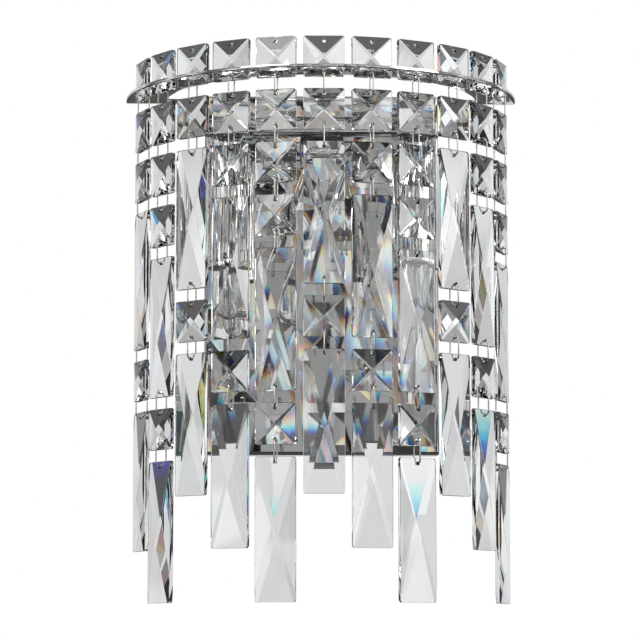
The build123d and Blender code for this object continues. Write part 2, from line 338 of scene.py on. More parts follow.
@dataclass(frozen=True)
class SatinChrome(Finish):
    """Plating over a finely brushed face."""

    name: str = "satin chrome plating"
    colour: tuple[float, float, float] = (0.68, 0.68, 0.67)
    brushed: tuple[float, float, float] = (0.62, 0.62, 0.615)
    roughness: float = 0.012
    uneven: float = 0.02
    line_depth: float = 0.000004

    def surface(self, bench: Bench) -> Wire:
        """A nearly mirror-bright metal with fine upright lines."""
        lines = bench.noise(scale=30.0, detail=4.0, place=bench.stretched((60.0, 60.0, 1.0)))
        cloud = bench.noise(scale=14.0, detail=2.0)
        return self.principled(bench, {
            "Base Color": bench.tint(lines, self.colour, self.brushed),
            "Metallic": 1.0,
            "Roughness": lines * self.uneven + cloud * self.uneven + self.roughness,
            "Normal": bench.bump(lines, self.line_depth),
        })


@dataclass(frozen=True)
class BlackMouthBand(Finish):
    """Glossy black on the band at the mouth of a sleeve."""

    name: str = "black mouth band"
    colour: tuple[float, float, float] = (0.012, 0.012, 0.013)
    worn: tuple[float, float, float] = (0.05, 0.05, 0.05)

    def surface(self, bench: Bench) -> Wire:
        """A dark gloss with faint dust."""
        dust = bench.noise(scale=900.0, detail=3.0).ease(0.55, 0.8)
        return self.principled(bench, {
            "Base Color": bench.tint(dust, self.colour, self.worn),
            "Roughness": dust * 0.3 + 0.18,
        })


@dataclass(frozen=True)
class ZincPlate(Finish):
    """Bright zinc with the crystalline flecks of plating."""

    name: str = "bright zinc plating"
    pale: tuple[float, float, float] = (0.62, 0.63, 0.65)
    dark: tuple[float, float, float] = (0.44, 0.45, 0.46)
    fleck_scale: float = 420.0

    def surface(self, bench: Bench) -> Wire:
        """A satin metal with flecks and rolling lines."""
        values = {"Vector": bench.place(), "Scale": self.fleck_scale}
        flecks = bench.add("ShaderNodeTexVoronoi", {}, values, "Color")
        fleck = bench.add("ShaderNodeSeparateColor", {}, {"Color": flecks}, 0)
        rolled = bench.noise(scale=60.0, detail=5.0, place=bench.stretched((1.0, 20.0, 20.0)))
        return self.principled(bench, {
            "Base Color": bench.tint(fleck * 0.5 + rolled * 0.5, self.pale, self.dark),
            "Metallic": 1.0,
            "Roughness": fleck * 0.12 + rolled * 0.16 + 0.2,
            "Normal": bench.bump(rolled, 0.00002),
        })


@dataclass(frozen=True)
class DrawnWire(Finish):
    """Warm silver wire with drawing lines."""

    name: str = "drawn silver wire"
    bright: tuple[float, float, float] = (0.66, 0.64, 0.60)
    dull: tuple[float, float, float] = (0.36, 0.34, 0.31)

    def surface(self, bench: Bench) -> Wire:
        """A bright metal, dulled in places by handling."""
        handled = bench.noise(scale=700.0, detail=3.0)
        return self.principled(bench, {
            "Base Color": bench.tint(handled.ease(0.5, 0.8), self.bright, self.dull),
            "Metallic": 1.0,
            "Roughness": handled * 0.2 + 0.06,
            "Normal": bench.bump(handled, 0.00002),
        })


@dataclass(frozen=True)
class CutCrystal(Finish):
    """Clear cut glass. Its facets are almost flat, as polishing leaves them."""

    name: str = "clear cut crystal"
    colour: tuple[float, float, float] = (0.985, 0.99, 0.99)
    streak: tuple[float, float, float] = (0.955, 0.965, 0.97)
    index: float = 1.56
    wave: float = 0.000016

    def surface(self, bench: Bench) -> Wire:
        """A clear glass with faint streaks and polishing waves."""
        streaks = bench.noise(scale=60.0, detail=2.0).ease(0.35, 0.7)
        polish = bench.noise(scale=90.0, detail=1.0)
        return self.principled(bench, {
            "Base Color": bench.tint(streaks, self.colour, self.streak),
            "Transmission Weight": 1.0,
            "Roughness": 0.0,
            "IOR": self.index,
            "Normal": bench.bump(polish, self.wave),
        })


@dataclass(frozen=True)
class BulbGlass(Finish):
    """Clear blown glass with slow waves."""

    name: str = "clear bulb glass"
    clear: tuple[float, float, float] = (0.99, 0.99, 0.985)
    cloudy: tuple[float, float, float] = (0.96, 0.965, 0.96)
    index: float = 1.47

    def surface(self, bench: Bench) -> Wire:
        """A thin clear glass."""
        wave = bench.noise(scale=120.0, detail=2.0)
        return self.principled(bench, {
            "Base Color": bench.tint(wave, self.clear, self.cloudy),
            "Transmission Weight": 1.0,
            "Roughness": 0.0,
            "IOR": self.index,
            "Normal": bench.bump(wave, 0.00003),
        })


@dataclass(frozen=True)
class GlazedCeramic(Finish):
    """White glazed ceramic with fine specks under the glaze."""

    name: str = "white glazed ceramic"
    body: tuple[float, float, float] = (0.80, 0.78, 0.73)
    speck: tuple[float, float, float] = (0.62, 0.58, 0.50)

    def surface(self, bench: Bench) -> Wire:
        """A pale gloss over specks."""
        specks = bench.noise(scale=1400.0, detail=2.0).ease(0.62, 0.74)
        glaze = bench.noise(scale=180.0, detail=2.0)
        return self.principled(bench, {
            "Base Color": bench.tint(specks, self.body, self.speck),
            "Roughness": glaze * 0.12 + 0.14,
            "Normal": bench.bump(glaze, 0.00005),
        })


@dataclass(frozen=True)
class Tungsten(Finish):
    """Dark coiled filament wire."""

    name: str = "tungsten filament"
    # Painted light on the coil's crests and painted shade in its hollows.
    crest_painted_light: tuple[float, float, float] = (0.42, 0.41, 0.40)
    hollow: tuple[float, float, float] = (0.24, 0.235, 0.23)

    def surface(self, bench: Bench) -> Wire:
        """A dark metal with painted light and painted shade in a random ripple, for the crests and
        hollows of a coil.
        """
        coil = bench.noise(scale=2500.0, detail=1.0)
        return self.principled(bench, {
            "Base Color": bench.tint(coil, self.crest_painted_light, self.hollow),
            "Metallic": 1.0,
            "Roughness": coil * 0.2 + 0.3,
        })


CHROME = PolishedChrome()
SATIN = SatinChrome()
MOUTH_BAND = BlackMouthBand()
ZINC = ZincPlate()
SILVER = DrawnWire()
CRYSTAL = CutCrystal()
BULB_GLASS = BulbGlass()
CERAMIC = GlazedCeramic()
TUNGSTEN = Tungsten()


# --- Mesh work ----------------------------------------------------------------------------------


@dataclass
class Blank:
    """A mesh being shaped, in millimetres."""

    mesh: bmesh.types.BMesh = field(default_factory=bmesh.new)

    def cut(self, point: Vector, normal: Vector) -> None:
        """Grind away all that lies beyond a plane, and close the cut.

        Args:
            point: A point of the plane.
            normal: The side that is ground away.
        """
        geometry = self.mesh.verts[:] + self.mesh.edges[:] + self.mesh.faces[:]
        found = bmesh.ops.bisect_plane(
            self.mesh, geom=geometry, dist=1e-4, plane_co=point, plane_no=normal.normalized(),
            clear_outer=True,
        )
        edges = [item for item in found["geom_cut"] if isinstance(item, bmesh.types.BMEdge)]
        bmesh.ops.contextual_create(self.mesh, geom=edges)

    def soften(self, width: float, segments: int = 1, least_angle: float = 0.0) -> None:
        """Bevel the edges that turn by more than an angle.

        Args:
            width: The bevel's width.
            segments: The bevel's steps.
            least_angle: Edges that turn less, in degrees, stay as they are.
        """
        least = math.radians(least_angle)
        edges = [e for e in self.mesh.edges if e.is_manifold and e.calc_face_angle() > least]
        bmesh.ops.bevel(
            self.mesh, geom=edges, offset=width, offset_type="OFFSET", segments=segments,
            profile=0.5, affect="EDGES", material=-1, clamp_overlap=True,
        )

    def turn(self, outline: Sequence[tuple[float, float]], steps: int = 48) -> None:
        """Turn a closed outline about the Z axis.

        Args:
            outline: Points of (radius, height), each joined to the next and the last to the first.
            steps: The number of steps round.
        """
        corners = [self.mesh.verts.new((radius, 0.0, height)) for radius, height in outline]
        edges = [self.mesh.edges.new(pair) for pair in zip(corners, corners[1:] + corners[:1])]
        bmesh.ops.spin(
            self.mesh, geom=corners + edges, cent=(0, 0, 0), axis=(0, 0, 1), angle=2 * math.pi,
            steps=steps, use_merge=True,
        )
        self.tidy()

    def tidy(self, distance: float = 1e-4) -> None:
        """Merge what meets and turn all faces outwards."""
        bmesh.ops.remove_doubles(self.mesh, verts=self.mesh.verts[:], dist=distance)
        bmesh.ops.dissolve_degenerate(self.mesh, edges=self.mesh.edges[:], dist=distance)
        bmesh.ops.recalc_face_normals(self.mesh, faces=self.mesh.faces[:])

    def box(self, size: Vector, centre: Vector) -> list[bmesh.types.BMVert]:
        """Add a box.

        Args:
            size: Its width, depth and height.
            centre: Its middle.

        Returns:
            The box's corners.
        """
        matrix = Matrix.Translation(centre) @ Matrix.Diagonal((*size, 1.0))
        return bmesh.ops.create_cube(self.mesh, size=1.0, matrix=matrix)["verts"]

    def data(self, name: str, scale: float = MM) -> bpy.types.Mesh:
        """Finish the mesh in metres.

        Args:
            name: The mesh's name.
            scale: From the blank's unit to metres.

        Returns:
            The mesh, with its sharp edges kept.
        """
        bmesh.ops.scale(self.mesh, vec=(scale, scale, scale), verts=self.mesh.verts[:])
        made = bpy.data.meshes.new(name)
        self.mesh.to_mesh(made)
        self.mesh.free()
        return made


def smooth(mesh: bpy.types.Mesh, angle: float = 30.0) -> None:
    """Shade a mesh smooth up to an angle.

    Args:
        mesh: The mesh.
        angle: Edges that turn more, in degrees, stay sharp.
    """
    mesh.shade_smooth()
    mesh.set_sharp_from_angle(angle=math.radians(angle))


def gathered(name: str, parts: Iterable[tuple[bpy.types.Mesh, Matrix]]) -> bpy.types.Mesh:
    """Join placed copies of meshes into one.

    Args:
        name: The new mesh's name.
        parts: Meshes and where each copy goes.

    Returns:
        The joined mesh.
    """
    blank = Blank()
    for mesh, matrix in parts:
        before = set(blank.mesh.verts)
        blank.mesh.from_mesh(mesh)
        new = [v for v in blank.mesh.verts if v not in before]
        bmesh.ops.transform(blank.mesh, matrix=matrix, verts=new)
    return blank.data(name, 1.0)


def piece(
    mesh: bpy.types.Mesh, body: str, slot: Slot, finishes: Sequence[Finish], *nodes: str
) -> bpy.types.Object:
    """Put a mesh on the frame as a piece.

    Args:
        mesh: The piece's mesh, in its place.
        body: The body that it rides on.
        slot: The record's material slot. Not used.
        finishes: Its finishes, in the order of the mesh's material numbers.
        nodes: The solids that it stands for.

    Returns:
        The piece.
    """
    made = bpy.data.objects.new(mesh.name, mesh)
    bpy.context.scene.collection.objects.link(made)
    mesh.materials.clear()
    for finish in finishes:
        mesh.materials.append(finish.material())
    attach(made, body)
    if nodes:
        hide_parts(*nodes)
    LOG.info("piece %s on %s: %d faces", made.name, body, len(mesh.polygons))
    return made


def drilled(mesh: bpy.types.Mesh, cutter: bpy.types.Mesh) -> bpy.types.Mesh:
    """Take one mesh away from another.

    Args:
        mesh: The mesh that is drilled.
        cutter: The drill.

    Returns:
        The drilled mesh.
    """
    objects = [bpy.data.objects.new(m.name, m) for m in (mesh, cutter)]
    for item in objects:
        bpy.context.scene.collection.objects.link(item)
    modifier = objects[0].modifiers.new("drill", "BOOLEAN")
    modifier.operation = "DIFFERENCE"
    modifier.solver = "EXACT"
    modifier.object = objects[1]
    graph = bpy.context.evaluated_depsgraph_get()
    made = bpy.data.meshes.new_from_object(objects[0].evaluated_get(graph))
    for item in objects:
        bpy.data.objects.remove(item)
    return made


def drawn(name: str, points: Sequence[Vector], radius: float) -> bpy.types.Mesh:
    """Draw a round wire along a path.

    Args:
        name: The mesh's name.
        points: The path's points in millimetres.
        radius: The wire's radius in millimetres.

    Returns:
        The wire's mesh, in metres.
    """
    curve = bpy.data.curves.new(name, "CURVE")
    curve.dimensions = "3D"
    curve.bevel_depth = radius * MM
    curve.bevel_resolution = 2
    curve.use_fill_caps = True
    spline = curve.splines.new("POLY")
    spline.points.add(len(points) - 1)
    for knot, point in zip(spline.points, points):
        knot.co = (*(point * MM), 1.0)
    item = bpy.data.objects.new(name, curve)
    bpy.context.scene.collection.objects.link(item)
    graph = bpy.context.evaluated_depsgraph_get()
    made = bpy.data.meshes.new_from_object(item.evaluated_get(graph))
    bpy.data.objects.remove(item)
    made.name = name
    return made


# --- Crystals -----------------------------------------------------------------------------------


@dataclass(frozen=True)
class CrystalCut:
    """One pattern of cut crystal, in millimetres, its middle at the origin and its front to -Y."""

    name: str
    length: float
    holes: tuple[int, ...] = (1, -1)
    width: float = 22.0
    thickness: float = 7.5
    girdle: float = 2.4
    point_shift: float = 0.0
    corner: float = 0.9
    edge: float = 0.14
    hole_radius: float = 1.0
    hole_inset: float = 3.0
    hole_sides: int = 14

    def mesh(self) -> bpy.types.Mesh:
        """Grind, bevel and drill the crystal.

        Returns:
            The crystal's mesh, in metres.
        """
        blank = Blank()
        blank.box(Vector((self.width, self.thickness, self.length)), Vector())
        rise = (self.thickness - self.girdle) / 2
        for side in (-1, 1):
            point = Vector((0.0, side * self.thickness / 2, side * self.point_shift))
            for flank in (-1, 1):
                blank.cut(point, Vector((flank * rise, side * self.width / 2, 0.0)))
                blank.cut(point, Vector((0.0, side * self.length / 2, flank * rise)))
        for across in (-1, 1):
            for end in (-1, 1):
                reach = across * (self.width / 2 - self.corner)
                point = Vector((reach, 0.0, end * self.length / 2))
                blank.cut(point, Vector((across, 0.0, end)))
        blank.tidy()
        blank.soften(self.edge)
        solid = blank.data(self.name)
        drill = Blank()
        for end in self.holes:
            matrix = Matrix.Translation((0, 0, end * (self.length / 2 - self.hole_inset)))
            bmesh.ops.create_cone(
                drill.mesh, cap_ends=True, segments=self.hole_sides, radius1=self.hole_radius,
                radius2=self.hole_radius, depth=3 * self.thickness,
                matrix=matrix @ Matrix.Rotation(math.pi / 2, 4, "X"),
            )
        made = drilled(solid, drill.data("drill"))
        made.name = self.name
        return made


@dataclass(frozen=True)
class ClipBend:
    """A closed wire loop, in millimetres, in the YZ plane, its top's middle at the origin."""

    height: float = 12.3
    half_width: float = 3.16
    radius: float = 2.3
    wire: float = 0.40
    sides: int = 8
    bend_steps: int = 6

    def mesh(self) -> bpy.types.Mesh:
        """Bend the wire round its four corners.

        Returns:
            The clip's mesh, in metres.
        """
        blank = Blank()
        ring = bmesh.ops.create_circle(
            blank.mesh, segments=self.sides, radius=self.wire,
            matrix=Matrix.Rotation(math.pi / 2, 4, "X"),
        )["verts"]
        end = [e for e in blank.mesh.edges if e.verts[0] in ring]
        straight = self.half_width - self.radius
        ahead, inward = Vector((0, 1, 0)), Vector((0, 0, -1))
        tip = Vector()
        fall = self.height - 2 * self.radius
        for run in (straight, fall, 2 * straight, fall):
            end, tip = self.forward(blank, end, tip, ahead * run)
            centre = tip + inward * self.radius
            found = bmesh.ops.spin(
                blank.mesh, geom=[*end, *{v for e in end for v in e.verts}], cent=centre,
                axis=(1, 0, 0), angle=-math.pi / 2, steps=self.bend_steps,
            )
            end = [item for item in found["geom_last"] if isinstance(item, bmesh.types.BMEdge)]
            tip = centre + ahead * self.radius
            ahead, inward = inward, -ahead
        self.forward(blank, end, tip, ahead * straight)
        blank.tidy(1e-3)
        made = blank.data("wire_clip")
        smooth(made, 50.0)
        return made

    @staticmethod
    def forward(
        blank: Blank, end: Sequence[bmesh.types.BMEdge], tip: Vector, step: Vector
    ) -> tuple[list[bmesh.types.BMEdge], Vector]:
        """Draw the wire's end straight on.

        Args:
            blank: The mesh.
            end: The edges of the open end.
            tip: The middle of the open end.
            step: How far it goes.

        Returns:
            The new end's edges and middle.
        """
        new = bmesh.ops.extrude_edge_only(blank.mesh, edges=list(end))["geom"]
        verts = [item for item in new if isinstance(item, bmesh.types.BMVert)]
        bmesh.ops.translate(blank.mesh, vec=step, verts=verts)
        corners = set(verts)
        edges = [e for e in new if isinstance(e, bmesh.types.BMEdge) and set(e.verts) <= corners]
        return edges, tip + step


@dataclass
class Curtain:
    """Crown crystals and the strings below them, on the ring's circle, in millimetres."""

    columns: int = 11
    crown_radius: float = 105.0
    column_gap: float = 3.6
    square: float = 22.0
    long: float = 76.0
    clip_height: float = 12.3
    hole_inset: float = 3.0
    crown_centre: float = 106.4
    point_shift: float = 5.4
    patterns: tuple[str, ...] = ("SSLS", "SSSLS", "SLS")
    turned_strings: tuple[int, ...] = (6,)
    turned_pendants: tuple[int, ...] = (5,)

    def __post_init__(self) -> None:
        """Make one of each crystal and the clip."""
        self.square_cut = CrystalCut("square_crystal", self.square).mesh()
        shift = self.point_shift
        self.long_cut = CrystalCut("long_crystal", self.long, point_shift=shift).mesh()
        self.end_cut = CrystalCut("end_crystal", self.long, (1,), point_shift=shift).mesh()
        self.clip = ClipBend(height=self.clip_height).mesh()
        self.pitch = 2 * math.asin((self.square + self.column_gap) / 2 / self.crown_radius)

    def place(self, column: int, height: float) -> Matrix:
        """Where something hangs.

        Args:
            column: The column's number, from 1 on the left.
            height: Its level in millimetres.

        Returns:
            The matrix that takes it there.
        """
        turn = Matrix.Rotation((column - (self.columns + 1) / 2) * self.pitch, 4, "Z")
        return turn @ Matrix.Translation((0.0, -self.crown_radius * MM, height * MM))

    @staticmethod
    def turn(back_to_front: bool) -> Matrix:
        """How a crystal is hung.

        Args:
            back_to_front: Whether its back faces the room.

        Returns:
            The turn about its own height.
        """
        return Matrix.Rotation(math.pi if back_to_front else 0.0, 4, "Z")

    def build(self) -> None:
        """Dress the crown and every string."""
        columns = range(1, self.columns + 1)
        crown = [(self.square_cut, self.place(column, self.crown_centre)) for column in columns]
        mesh = gathered("crown_cut_crystals", crown)
        piece(mesh, "fixture", Slot.CRYSTAL, [CRYSTAL], "crown_crystals")
        for column in columns:
            self.hang(column, self.patterns[(column - 1) % len(self.patterns)])

    def hang(self, column: int, pattern: str) -> None:
        """Dress one string and its pendant.

        Args:
            column: The column's number.
            pattern: S for each square crystal and L for each long one, from the top.
        """
        hook = self.crown_centre - self.square / 2 + self.hole_inset
        beads, clips = [], []
        for letter in pattern:
            length, cut = self.square, self.square_cut
            if letter == "L":
                length, cut = self.long, self.long_cut
            clips.append((self.clip, self.place(column, hook)))
            turned = letter == "L" and column in self.turned_strings
            level = hook - self.clip_height + self.hole_inset - length / 2
            beads.append((cut, self.place(column, level) @ self.turn(turned)))
            hook -= self.clip_height + length - 2 * self.hole_inset
        string, pendant = f"string_{column:02d}", f"pendant_{column:02d}"
        self.crystals(string, "crystals", beads)
        self.wires(string, "clips", clips)
        level = hook - self.clip_height + self.hole_inset - self.long / 2
        turn = self.turn(column in self.turned_pendants)
        self.crystals(pendant, "crystal", [(self.end_cut, self.place(column, level) @ turn)])
        self.wires(pendant, "clip", [(self.clip, self.place(column, hook))])

    @staticmethod
    def crystals(body: str, noun: str, parts: Iterable[tuple[bpy.types.Mesh, Matrix]]) -> None:
        """Dress a body's crystals.

        Args:
            body: The body's name.
            noun: The last word of the solid's name.
            parts: Crystals and where each one goes.
        """
        mesh = gathered(f"{body}_cut_{noun}", parts)
        piece(mesh, body, Slot.CRYSTAL, [CRYSTAL], f"{body}_{noun}")

    @staticmethod
    def wires(body: str, noun: str, parts: Iterable[tuple[bpy.types.Mesh, Matrix]]) -> None:
        """Dress a body's wire clips.

        Args:
            body: The body's name.
            noun: The last word of the solid's name.
            parts: Clips and where each one goes.
        """
        mesh = gathered(f"{body}_wire_{noun}", parts)
        piece(mesh, body, Slot.WIRE, [SILVER], f"{body}_{noun}")


# --- Metalwork ----------------------------------------------------------------------------------


@dataclass
class Metalwork:
    """Sheet pieces and fasteners, with the edges that pressing and plating leave."""

    nodes: dict[str, bpy.types.Object]
    sheet_edge: float = 0.25
    plate_edge: float = 0.5
    screw_edge: float = 0.3
    plate_steps: int = 3
    edge_steps: int = 2
    flat_angle: float = 0.5
    crease: float = 30.0

    def build(self) -> None:
        """Dress every metal solid."""
        self.dress("backplate", "rounded_backplate", SATIN, self.plate_edge, self.plate_steps)
        for node, name, finish, edge in (
            ("crown_ring", "polished_ring", CHROME, self.sheet_edge),
            ("lamp_bar", "polished_lamp_bar", CHROME, self.sheet_edge),
            ("wall_strap", "zinc_wall_strap", ZINC, self.sheet_edge),
            ("plate_screws", "chrome_plate_screws", CHROME, self.screw_edge),
            ("side_screws", "chrome_side_screws", CHROME, self.screw_edge),
            ("ground_screw", "zinc_ground_screw", ZINC, self.screw_edge),
            ("holder_nuts", "zinc_holder_nuts", ZINC, self.screw_edge),
        ):
            self.dress(node, name, finish, edge, self.edge_steps)

    def dress(self, node: str, name: str, finish: Finish, edge: float, steps: int) -> None:
        """Stand a softened copy in for a solid.

        Args:
            node: The solid's name.
            name: The piece's name.
            finish: The piece's finish.
            edge: The width of the bevels in millimetres.
            steps: The bevels' steps.
        """
        blank = Blank()
        blank.mesh.from_mesh(self.nodes[node].data)
        bmesh.ops.scale(blank.mesh, vec=(1 / MM,) * 3, verts=blank.mesh.verts[:])
        blank.tidy(1e-3)
        bmesh.ops.dissolve_limit(
            blank.mesh, angle_limit=math.radians(self.flat_angle), verts=blank.mesh.verts[:],
            edges=blank.mesh.edges[:],
        )
        blank.soften(edge, steps, self.crease)
        made = blank.data(name)
        smooth(made, self.crease)
        slot = Slot.ZINC if finish is ZINC else Slot.CHROME
        body = self.nodes[node]["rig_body"]
        piece(made, body, slot, [finish], node)


@dataclass
class Lamps:
    """Both lamp holders and their bulbs, in millimetres."""

    spacing: float = 101.6
    reach: float = 52.0
    bar_bottom: float = 73.5
    disc_radius: float = 13.0
    disc_thickness: float = 1.3
    neck_height: float = 9.4
    neck_radius: float = 7.5
    neck_waist: float = 6.2
    sleeve_radius: float = 12.5
    sleeve_length: float = 63.6
    sleeve_wall: float = 0.8
    sleeve_shoulder: float = 0.8
    sleeve_inner_cut: float = 0.4
    rim_band: float = 2.4
    groove_depth: float = 0.12
    groove_height: float = 0.3
    tube_radius: float = 4.85
    tube_wall: float = 1.0
    tube_top: float = 80.5
    tube_clearance: float = 0.1
    thread_pitch: float = 1.0
    thread_depth: float = 0.35
    socket_radius: float = 9.0
    socket_top: float = 45.5
    socket_height: float = 25.0
    base_height: float = 4.0
    base_inset: float = 1.2
    head_height: float = 5.0
    head_inset: float = 2.0
    socket_slope: float = 1.0
    slot_clearance: float = 0.4
    bulb_radius: float = 6.5
    bulb_length: float = 46.0
    bulb_neck: float = 7.0
    bulb_wall: float = 0.8
    bulb_shoulder: float = 2.0
    tip_steps: int = 8
    shoulder_steps: int = 6
    foot_width: float = 9.0
    foot_thickness: float = 4.0
    foot_depth: float = 6.0
    foot_overlap: float = 1.0
    filament_wire: float = 0.35
    filament_reach: float = 2.4
    filament_runs: int = 4
    filament_gap: float = 2.0
    lead_length: float = 8.0
    neck_steps: int = 12
    bevel_steps: int = 2
    crease: float = 25.0

    def __post_init__(self) -> None:
        """Work out the levels."""
        self.neck_top = self.bar_bottom - self.disc_thickness
        self.sleeve_top = self.neck_top - self.neck_height
        self.sleeve_bottom = self.sleeve_top - self.sleeve_length
        self.socket_bottom = self.socket_top - self.socket_height
        self.bore = self.tube_radius + self.tube_clearance

    def both(
        self, mesh: bpy.types.Mesh, name: str, slot: Slot, finishes: Sequence[Finish], node: str
    ) -> None:
        """Put a piece on both lamp axes.

        Args:
            mesh: The piece on the Z axis, in metres.
            name: The pair's name.
            slot: The record's material slot.
            finishes: The finishes.
            node: The solid that the pair stands for.
        """
        axes = [
            Matrix.Translation((side * self.spacing / 2 * MM, -self.reach * MM, 0))
            for side in (-1, 1)
        ]
        pair = gathered(name, [(mesh, axis) for axis in axes])
        piece(pair, "fixture", slot, finishes, node)

    def build(self) -> None:
        """Dress every part of the lamps."""
        self.both(self.disc(), "polished_discs", Slot.CHROME, [CHROME], "holder_discs")
        self.both(self.neck(), "turned_necks", Slot.CHROME, [CHROME], "holder_necks")
        self.both(self.sleeve(), "polished_sleeves", Slot.CHROME, [CHROME, MOUTH_BAND], "lamp_sleeves")
        self.both(self.tube(), "threaded_tubes", Slot.ZINC, [ZINC], "holder_tubes")
        self.both(self.socket(), "ceramic_sockets", Slot.CERAMIC, [CERAMIC], "lamp_sockets")
        self.both(self.bulb(), "clear_bulbs", Slot.BULB, [BULB_GLASS, TUNGSTEN], "bulbs")

    def turned(
        self, name: str, outline: Sequence[tuple[float, float]], edge: float
    ) -> bpy.types.Mesh:
        """A turned piece with softened edges.

        Args:
            name: The mesh's name.
            outline: Its closed outline as (radius, height).
            edge: The bevels' width.

        Returns:
            The mesh, in metres.
        """
        blank = Blank()
        blank.turn(outline, 64)
        blank.soften(edge, self.bevel_steps, self.crease)
        made = blank.data(name)
        smooth(made)
        return made

    def disc(self) -> bpy.types.Mesh:
        """The disc under the bar."""
        bore, rim = self.bore, self.disc_radius
        low, high = self.neck_top, self.bar_bottom
        outline = [(bore, low), (rim, low), (rim, high), (bore, high)]
        return self.turned("disc", outline, 0.3)

    def neck(self) -> bpy.types.Mesh:
        """The turned spacer, a smooth waist between two beads."""
        middle = (self.neck_top + self.sleeve_top) / 2
        half = self.neck_height / 2
        outline = [(self.bore, self.sleeve_top)]
        for step in range(self.neck_steps + 1):
            share = 2 * step / self.neck_steps - 1
            radius = self.neck_waist + (self.neck_radius - self.neck_waist) * share ** 2
            outline.append((radius, middle + share * half))
        outline.append((self.bore, self.neck_top))
        return self.turned("neck", outline, 0.2)

    def sleeve(self) -> bpy.types.Mesh:
        """The drawn cup, with a dark band inside its mouth."""
        outer, inner = self.sleeve_radius, self.sleeve_radius - self.sleeve_wall
        low, high, cut = self.sleeve_bottom, self.sleeve_top, self.sleeve_shoulder
        band, floor = low + self.rim_band, high - self.sleeve_wall
        outline = [
            (inner, low), (outer, low), (outer, band),
            (outer - self.groove_depth, band + self.groove_height / 2),
            (outer, band + self.groove_height), (outer, high - cut), (outer - cut, high),
            (self.bore, high), (self.bore, floor), (inner - cut, floor),
            (inner, high - cut - self.sleeve_inner_cut),
        ]
        blank = Blank()
        blank.turn(outline, 72)
        for face in blank.mesh.faces:
            centre = face.calc_center_median()
            face.material_index = int(centre.z < band)
        blank.soften(0.3, 3, self.crease)
        made = blank.data("sleeve")
        smooth(made)
        return made

    def tube(self) -> bpy.types.Mesh:
        """The threaded tube, with one groove for each turn of its thread."""
        outer, inner = self.tube_radius, self.tube_radius - self.tube_wall
        pitch, depth = self.thread_pitch, self.thread_depth
        outline = [(inner, self.socket_top), (outer - depth, self.socket_top)]
        turns = int((self.tube_top - self.socket_top) / pitch)
        for turn in range(turns):
            level = self.socket_top + turn * pitch
            outline += [(outer, level + pitch / 2), (outer - depth, level + pitch)]
        outline.append((inner, self.socket_top + turns * pitch))
        blank = Blank()
        blank.turn(outline, 32)
        made = blank.data("tube")
        smooth(made, 20.0)
        return made

    def socket(self) -> bpy.types.Mesh:
        """The ceramic socket: a stepped body with a slot for the bulb's foot."""
        top, low, radius = self.socket_top, self.socket_bottom, self.socket_radius
        base, head = low + self.base_height, top - self.head_height
        base_radius, head_radius = radius - self.base_inset, radius - self.head_inset
        blank = Blank()
        blank.turn([
            (0.0, low), (base_radius, low), (base_radius, base), (radius, base + self.socket_slope),
            (radius, head - self.socket_slope), (head_radius, head), (head_radius, top), (0.0, top),
        ], 56)
        blank.soften(0.4, self.bevel_steps, self.crease)
        solid = blank.data("socket")
        slot = Blank()
        gap = self.slot_clearance
        size = Vector((self.foot_width + gap, self.foot_thickness + gap, 2 * self.foot_depth))
        slot.box(size, Vector((0.0, 0.0, low)))
        made = drilled(solid, slot.data("slot"))
        smooth(made)
        return made

    def capsule(self, wall: float) -> Blank:
        """A round-ended capsule inside the bulb's outline.

        Args:
            wall: How far inside the outline it stays.

        Returns:
            The capsule.
        """
        tip = self.socket_bottom - self.bulb_length + wall
        top = self.socket_bottom - self.bulb_neck - wall
        radius, shoulder = self.bulb_radius - wall, self.bulb_shoulder
        outline = [(0.0, tip)]
        for step in range(1, self.tip_steps + 1):
            angle = step / self.tip_steps * math.pi / 2
            outline.append((radius * math.sin(angle), tip + radius - radius * math.cos(angle)))
        for step in range(1, self.shoulder_steps + 1):
            angle = step / self.shoulder_steps * math.pi / 2
            across = radius - shoulder * (1 - math.cos(angle))
            outline.append((across, top - shoulder * (1 - math.sin(angle))))
        outline.append((0.0, top))
        blank = Blank()
        blank.turn(outline, 48)
        return blank

    def bulb(self) -> bpy.types.Mesh:
        """The hollow capsule with its pinched foot, and the filament in it."""
        outside = self.capsule(0.0).data("capsule")
        shell = drilled(outside, self.capsule(self.bulb_wall).data("cavity"))
        smooth(shell, 40.0)
        foot = Blank()
        below = self.bulb_neck + self.foot_overlap
        foot.box(
            Vector((self.foot_width, self.foot_thickness, self.foot_depth + below)),
            Vector((0.0, 0.0, self.socket_bottom + (self.foot_depth - below) / 2)),
        )
        foot.soften(0.9, 3)
        pinch = foot.data("foot")
        smooth(pinch, 40.0)
        wire = self.filament()
        for face in wire.polygons:
            face.material_index = 1
        here = Matrix.Identity(4)
        return gathered("bulb", [(shell, here), (pinch, here), (wire, here)])

    def filament(self) -> bpy.types.Mesh:
        """The coiled wire, up and down between its two leads."""
        top = self.socket_bottom - self.bulb_neck - self.filament_gap
        low = self.socket_bottom - self.bulb_length + self.bulb_radius
        high = top - self.lead_length
        half, runs = self.filament_reach, self.filament_runs
        points = [Vector((-half, 0.0, top))]
        for run in range(runs + 1):
            across = -half + 2 * half * run / runs
            levels = (high, low) if run % 2 == 0 else (low, high)
            points += [Vector((across, 0.0, level)) for level in levels]
        points.append(Vector((half, 0.0, top)))
        return drawn("filament", points, self.filament_wire)


# --- Studio -------------------------------------------------------------------------------------


